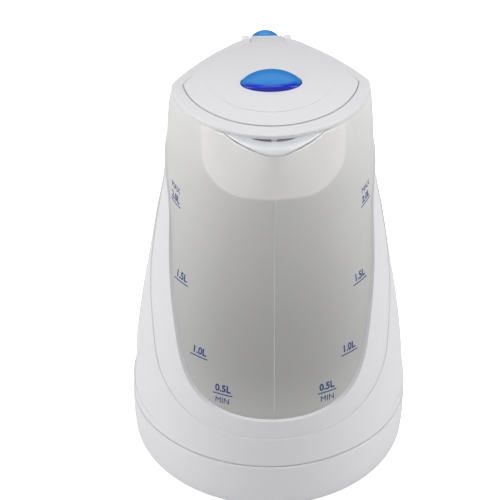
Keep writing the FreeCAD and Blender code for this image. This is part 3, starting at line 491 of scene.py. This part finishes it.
def blue_gloss(name, deep, painted_highlight_blue, turn_low, turn_high, button=None):
    """Glossy tinted plastic, deep where it looks sideways, with a painted highlight of lighter blue where it
    looks up.

    button is the box of an oval button, whose front rim is kept deep all the way round, out of the painted
    highlight."""
    material = new_finish(name, IOR=1.42, Coat_Weight=0.25, Coat_Roughness=0.06)
    tree = material.node_tree
    skin = place_effect(material, moulded_skin(), Grain_Depth=0.05, Waviness=0.9)
    used = place_effect(material, handling_wear(), Amount=0.5, Patch_Size=60.0)
    # Painted highlight: lighter blue where the surface looks up.
    painted_highlight_mask = smooth_step(tree, facing_up(tree), turn_low, turn_high)
    if button:
        painted_highlight_mask = maths(tree, "MULTIPLY", painted_highlight_mask, maths(tree, "SUBTRACT", 1.0, front_rim(tree, button)))
    drift = maths(tree, "MULTIPLY", painted_highlight_mask, span(material, skin.outputs["Mottle"], 0.85, 1.1), clamp=True)
    join(material, blend_colours(material, drift, deep, painted_highlight_blue), "Base Color")
    join(material, span(material, used.outputs["Rubbed"], 0.2, 0.3), "Roughness")
    raise_surface(material, skin.outputs["Height"], 0.15, 0.00003)
    return material


def printing_ink(colours):
    """Pad-printed ink, a little thin in places."""
    colour = tuple(colours.ink)
    material = new_finish("printing_ink")
    used = place_effect(material, handling_wear(), Amount=1.0, Patch_Size=300.0)
    join(material, blend_colours(material, used.outputs["Rubbed"], colour, (0.03, 0.09, 0.33)), "Base Color")
    join(material, span(material, used.outputs["Rubbed"], 0.42, 0.6), "Roughness")
    return material


def finishes(colours):
    """Every finish under the name of its material slot."""
    shell = tuple(colours.shell)
    return {
        "white_shell": white_plastic("white_shell", colours),
        "white_inner": plastic("white_inner", darker(shell, 0.96), 0.5, 0.5, 0.3, 0.06),
        "dark_inner": plastic("dark_inner", (0.02, 0.02, 0.022), 0.45, 0.5, 0.4, 0.1),
        "seal_rubber": plastic("seal_rubber", (0.62, 0.62, 0.60), 0.55, 0.3, 0.2, 0.1,
                               Transmission_Weight=0.15),
        "foot_rubber": plastic("foot_rubber", (0.05, 0.05, 0.052), 0.75, 0.9, 0.6, 0.25),
        "mesh": plastic("mesh", (0.78, 0.79, 0.80), 0.4, 0.1, 0.2, 0.0),
        "frosted_jug": frosted_resin(colours),
        "blue_gloss": blue_gloss("button_blue", tuple(colours.blue), tuple(colours.painted_highlight_and_switch_blue), 0.55, 0.97,
                                 button=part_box("lid_button")),
        "steel": metal("steel", (0.62, 0.62, 0.61), 0.3, 900.0),
        "aluminium": metal("aluminium", (0.66, 0.66, 0.67), 0.45, 300.0),
        "brass": metal("brass", (0.70, 0.53, 0.24), 0.25, 700.0),
    }


# ---- places on the frame -----------------------------------------------------------------

def wall_of(node):
    """The node's surface, for finding points on it."""
    mesh = NODES[node].data
    return BVHTree.FromPolygons([v.co for v in mesh.vertices], [p.vertices for p in mesh.polygons])


def point_on(wall, degrees, height):
    """The outermost point of the wall at an angle from the front and a height, and its normal."""
    angle = math.radians(degrees)
    outward = Vector((math.sin(angle), -math.cos(angle), 0.0))
    start = outward * 0.2 + Vector((0.0, 0.0, height))
    place, normal, _, _ = wall.ray_cast(start, -outward)
    if place is None:
        raise RuntimeError(f"nothing at {degrees:.1f} degrees and height {height:.4f}")
    if normal.dot(outward) < 0.0:
        normal = -normal
    return place, normal


def add_piece(name, mesh, material, body):
    """A finished mesh as an object that rides on its body."""
    piece = bpy.data.objects.new(name, mesh)
    mesh.materials.clear()
    mesh.materials.append(material)
    bpy.context.scene.collection.objects.link(piece)
    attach(piece, body)
    return piece


# ---- printed level marks -----------------------------------------------------------------

def lettering(text, height, thickness, boldness=0.0):
    """A flat mesh of one line of lettering, centred, with its feet at zero."""
    curve = bpy.data.curves.new("lettering", "FONT")
    curve.body = text
    curve.align_x = "CENTER"
    curve.size = height * 1.38
    curve.offset = height * boldness
    curve.extrude = thickness / 2
    curve.resolution_u = 3
    holder = bpy.data.objects.new("lettering", curve)
    mesh = bpy.data.meshes.new_from_object(holder)
    bpy.data.objects.remove(holder)
    bpy.data.curves.remove(curve)
    return mesh


def underline_mesh(length, width, thickness):
    """A flat bar divided along its length, so that it can follow the wall."""
    form = bmesh.new()
    low, high = -thickness / 2, thickness / 2
    section = ((0, low), (width, low), (width, high), (0, high))
    rings = []
    for i in range(UNDERLINE_STEPS + 1):
        x = length * (i / UNDERLINE_STEPS - 0.5)
        rings.append([form.verts.new((x, y, z)) for y, z in section])
    for before, after in zip(rings, rings[1:]):
        for k in range(4):
            form.faces.new((before[k], before[(k + 1) % 4], after[(k + 1) % 4], after[k]))
    form.faces.new(rings[0][::-1])
    form.faces.new(rings[-1])
    bmesh.ops.recalc_face_normals(form, faces=form.faces)
    mesh = bpy.data.meshes.new("underline")
    form.to_mesh(mesh)
    form.free()
    return mesh


def wrap_on_wall(mesh, wall, degrees, height, lift, squeeze):
    """Lay a flat mesh on the wall: x, squeezed by a share, runs round it and y runs up it."""
    centre, _ = point_on(wall, degrees, height)
    radius = Vector((centre.x, centre.y)).length
    for vertex in mesh.vertices:
        turn = math.degrees(vertex.co.x * squeeze / radius)
        place, normal = point_on(wall, degrees + turn, height + vertex.co.y)
        vertex.co = place + normal * (vertex.co.z + lift)


def mark_lines(marks, text, above, below):
    """The flat meshes of one mark, each with its rise over the level and its squeeze."""
    gap = marks.glyph * 0.32
    bar = marks.glyph * 0.15
    word = marks.glyph * 0.86
    lines = [(underline_mesh(marks.underline, bar, marks.thickness), 0.0, 1.0),
             (lettering(text, marks.glyph, marks.thickness, 0.04), gap + bar, 0.86)]
    if above:
        lines.append((lettering(above, word, marks.thickness), gap * 3 + marks.glyph, 0.9))
    if below:
        lines.append((lettering(below, word, marks.thickness), -gap - marks.glyph * 0.9, 0.9))
    return lines


def level_marks(side, marks, material):
    """All the printing on one side of the jug, joined into one piece."""
    wall = wall_of("jug")
    print_run = bmesh.new()
    for text, above, below, height, left, right in LEVEL_MARKS:
        degrees = -left if side == "left" else right
        for mesh, rise, squeeze in mark_lines(marks, text, above, below):
            wrap_on_wall(mesh, wall, degrees, height + rise, marks.thickness / 2, squeeze)
            print_run.from_mesh(mesh)
            bpy.data.meshes.remove(mesh)
    bmesh.ops.remove_doubles(print_run, verts=print_run.verts, dist=1e-7)
    joined = bpy.data.meshes.new(f"level_marks_{side}")
    print_run.to_mesh(joined)
    print_run.free()
    return add_piece(f"level_marks_{side}", joined, material, "kettle")


# ---- small mouldings ---------------------------------------------------------------------

def ridge_along(name, path, width, height):
    """A low half-round ridge along points with their normals, closed at both ends."""
    form = bmesh.new()
    rings = []
    for i, (place, normal) in enumerate(path):
        after = path[min(i + 1, len(path) - 1)][0]
        before = path[max(i - 1, 0)][0]
        across = (after - before).normalized().cross(normal).normalized()
        ring = []
        for k in range(RIDGE_STEPS + 1):
            angle = math.pi * k / RIDGE_STEPS
            ring.append(form.verts.new(place + across * (math.cos(angle) * width / 2)
                                       + normal * (math.sin(angle) * height)))
        ring.append(form.verts.new(place - normal * height))
        rings.append(ring)
    count = RIDGE_STEPS + 2
    for before, after in zip(rings, rings[1:]):
        for k in range(count):
            form.faces.new((before[k], before[(k + 1) % count], after[(k + 1) % count], after[k]))
    form.faces.new(rings[0][::-1])
    form.faces.new(rings[-1])
    bmesh.ops.recalc_face_normals(form, faces=form.faces)
    for face in form.faces:
        face.smooth = True
    mesh = bpy.data.meshes.new(name)
    form.to_mesh(mesh)
    form.free()
    return mesh


def jug_mould_seam(mouldings, material):
    """The fine seam of the two mould halves down the front of the jug."""
    wall = wall_of("jug")
    low, high = SEAM_HEIGHTS
    path = [point_on(wall, 0.0, low + (high - low) * i / SEAM_STEPS) for i in range(SEAM_STEPS + 1)]
    mesh = ridge_along("jug_mould_seam", path, mouldings.seam_width, mouldings.seam_width * 0.3)
    return add_piece("jug_mould_seam", mesh, material, "kettle")


def woven_filter(mouldings, material):
    """The filter's cloth as crossing strands in place of its plain sheet."""
    low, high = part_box("filter_mesh")
    radius = max(abs(low.y), abs(high.y)) - 0.0003
    reach = math.asin(min(high.x / radius, 1.0))
    pitch = mouldings.weave_pitch
    columns = round(2 * reach * radius / pitch)
    rows = round((high.z - low.z) / pitch)
    form = bmesh.new()
    grid = []
    for j in range(rows + 1):
        z = low.z + (high.z - low.z) * j / rows
        grid.append([])
        for i in range(columns + 1):
            angle = reach * (2 * i / columns - 1)
            r = radius + (WEAVE_WAVE if (i + j) % 2 else -WEAVE_WAVE)
            grid[-1].append(form.verts.new((r * math.sin(angle), -r * math.cos(angle), z)))
    for j in range(rows):
        for i in range(columns):
            form.faces.new((grid[j][i], grid[j][i + 1], grid[j + 1][i + 1], grid[j + 1][i]))
    mesh = bpy.data.meshes.new("woven_filter")
    form.to_mesh(mesh)
    form.free()
    piece = add_piece("woven_filter", mesh, material, "kettle")
    strands = piece.modifiers.new("strands", "WIREFRAME")
    strands.thickness = pitch * STRAND_SHARE
    strands.use_even_offset = False
    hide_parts("filter_mesh")
    return piece


# ---- studio ------------------------------------------------------------------------------

def studio_floor(studio):
    """A wide round sheet of pale paper, which glows a little where it is seen directly."""
    form = bmesh.new()
    bmesh.ops.create_circle(form, cap_ends=True, segments=96, radius=FLOOR_RADIUS)
    mesh = bpy.data.meshes.new("studio_floor")
    form.to_mesh(mesh)
    form.free()
    floor = bpy.data.objects.new("studio_floor", mesh)
    bpy.context.scene.collection.objects.link(floor)
    paper = new_finish("floor_paper", Roughness=0.9)
    tree = paper.node_tree
    colour = tuple(studio.floor)
    grain = noise(tree, 6.0, 2.0)
    join(paper, blend_colours(paper, grain, colour, darker(colour, 0.995)), "Base Color")
    shader_of(paper).inputs["Emission Color"].default_value = (1.0, 1.0, 1.0, 1.0)
    path = tree.nodes.new("ShaderNodeLightPath")
    join(paper, maths(tree, "MULTIPLY", path.outputs["Is Camera Ray"], FLOOR_GLOW), "Emission Strength")
    mesh.materials.append(paper)


def studio_room(studio):
    """The even light of the room."""
    room = bpy.data.worlds.new("room")
    room.use_nodes = True
    backdrop = room.node_tree.nodes["Background"]
    backdrop.inputs["Color"].default_value = (0.97, 0.98, 1.0, 1.0)
    backdrop.inputs["Strength"].default_value = studio.room
    bpy.context.scene.world = room


def softbox(name, place, size, power):
    """An area light that looks at the kettle's middle."""
    light = bpy.data.lights.new(name, "AREA")
    light.shape = "RECTANGLE"
    light.size, light.size_y = size
    light.energy = power
    holder = bpy.data.objects.new(name, light)
    holder.location = place
    holder.rotation_euler = (Vector(AIM) - Vector(place)).to_track_quat("-Z", "Y").to_euler()
    bpy.context.scene.collection.objects.link(holder)


def softboxes(studio):
    softbox("overhead_softbox", (0.0, 0.1, 1.7), (1.4, 1.4), studio.overhead)
    softbox("front_softbox", (0.0, -0.9, 1.5), (1.2, 0.9), studio.front)
    softbox("back_softbox", (0.0, 1.2, 1.2), (1.6, 0.7), studio.back)
    softbox("left_softbox", (-1.3, -0.25, 0.75), (1.0, 1.2), studio.sides)
    softbox("right_softbox", (1.3, -0.25, 0.75), (1.0, 1.2), studio.sides * 0.95)


def studio_camera():
    lens = bpy.data.cameras.new("camera")
    lens.lens = CAMERA_LENS
    lens.sensor_width = 36.0
    lens.clip_start = 0.05
    lens.clip_end = 20.0
    camera = bpy.data.objects.new("camera", lens)
    camera.location = CAMERA_PLACE
    camera.rotation_euler = (math.radians(CAMERA_TILT), 0.0, math.radians(CAMERA_TURN))
    bpy.context.scene.collection.objects.link(camera)
    bpy.context.scene.camera = camera


# ---- operators ---------------------------------------------------------------------------

class KETTLE_OT_finishes(bpy.types.Operator):
    """Give every carried-over part its finish"""
    bl_idname = "kettle.finishes"
    bl_label = "Finishes"

    def execute(self, context):
        colours = context.scene.kettle_colours
        by_slot = finishes(colours)
        for part in frame["record"]["subparts"]:
            mesh = NODES[part["node"]].data
            mesh.materials.clear()
            mesh.materials.append(by_slot[part["material_slot"]])
        switch_blue = blue_gloss("switch_blue", tuple(colours.painted_highlight_and_switch_blue), tuple(colours.painted_highlight_and_switch_blue), 0.0, 1.0)
        NODES["switch_paddle"].data.materials[0] = switch_blue
        # The collar's white carries the painted glow of the spout floor.
        collar_white_painted_glow = white_plastic("collar_white_painted_glow", colours)
        painted_spout_glow(collar_white_painted_glow)
        NODES["collar"].data.materials[0] = collar_white_painted_glow
        return {"FINISHED"}


class KETTLE_OT_level_marks(bpy.types.Operator):
    """Print the level marks on both sides of the jug"""
    bl_idname = "kettle.level_marks"
    bl_label = "Level marks"

    def execute(self, context):
        ink = printing_ink(context.scene.kettle_colours)
        for side in ("left", "right"):
            level_marks(side, context.scene.kettle_marks, ink)
        return {"FINISHED"}


class KETTLE_OT_mould_seam(bpy.types.Operator):
    """Add the mould seam down the front of the jug"""
    bl_idname = "kettle.mould_seam"
    bl_label = "Mould seam"

    def execute(self, context):
        pale = plastic("seam_resin", (0.64, 0.64, 0.635), 0.4, 0.1, 0.2, 0.0)
        jug_mould_seam(context.scene.kettle_mouldings, pale)
        return {"FINISHED"}


class KETTLE_OT_filter(bpy.types.Operator):
    """Weave the cloth of the filter"""
    bl_idname = "kettle.filter"
    bl_label = "Filter cloth"

    def execute(self, context):
        woven_filter(context.scene.kettle_mouldings, bpy.data.materials["mesh"])
        return {"FINISHED"}


class KETTLE_OT_stage(bpy.types.Operator):
    """Set up the floor, the softboxes and the camera"""
    bl_idname = "kettle.stage"
    bl_label = "Studio"

    def execute(self, context):
        studio = context.scene.kettle_studio
        context.scene.view_settings.view_transform = "Standard"
        studio_floor(studio)
        studio_room(studio)
        softboxes(studio)
        studio_camera()
        return {"FINISHED"}


OPERATORS = (KETTLE_OT_finishes, KETTLE_OT_level_marks, KETTLE_OT_mould_seam, KETTLE_OT_filter,
             KETTLE_OT_stage)


class KETTLE_PT_sidebar(bpy.types.Panel):
    """The kettle's sizes, colours and pieces"""
    bl_idname = "KETTLE_PT_sidebar"
    bl_label = "Kettle"
    bl_space_type = "VIEW_3D"
    bl_region_type = "UI"
    bl_category = "Kettle"

    def draw(self, context):
        for holder in PROPERTY_GROUPS:
            group = getattr(context.scene, holder)
            for label in group.__annotations__:
                self.layout.prop(group, label)
        for operator in OPERATORS:
            self.layout.operator(operator.bl_idname)


PROPERTY_GROUPS = {
    "kettle_colours": KettleColours,
    "kettle_marks": KettleMarks,
    "kettle_mouldings": KettleMouldings,
    "kettle_studio": KettleStudio,
}


def register():
    for holder, group in PROPERTY_GROUPS.items():
        bpy.utils.register_class(group)
        setattr(bpy.types.Scene, holder, PointerProperty(type=group))
    for operator in OPERATORS:
        bpy.utils.register_class(operator)
    bpy.utils.register_class(KETTLE_PT_sidebar)


def unregister():
    bpy.utils.unregister_class(KETTLE_PT_sidebar)
    for operator in reversed(OPERATORS):
        bpy.utils.unregister_class(operator)
    for holder, group in reversed(list(PROPERTY_GROUPS.items())):
        delattr(bpy.types.Scene, holder)
        bpy.utils.unregister_class(group)


def main():
    register()
    bpy.ops.kettle.finishes()
    bpy.ops.kettle.level_marks()
    bpy.ops.kettle.mould_seam()
    bpy.ops.kettle.filter()
    bpy.ops.kettle.stage()


if __name__ == "__main__":
    main()
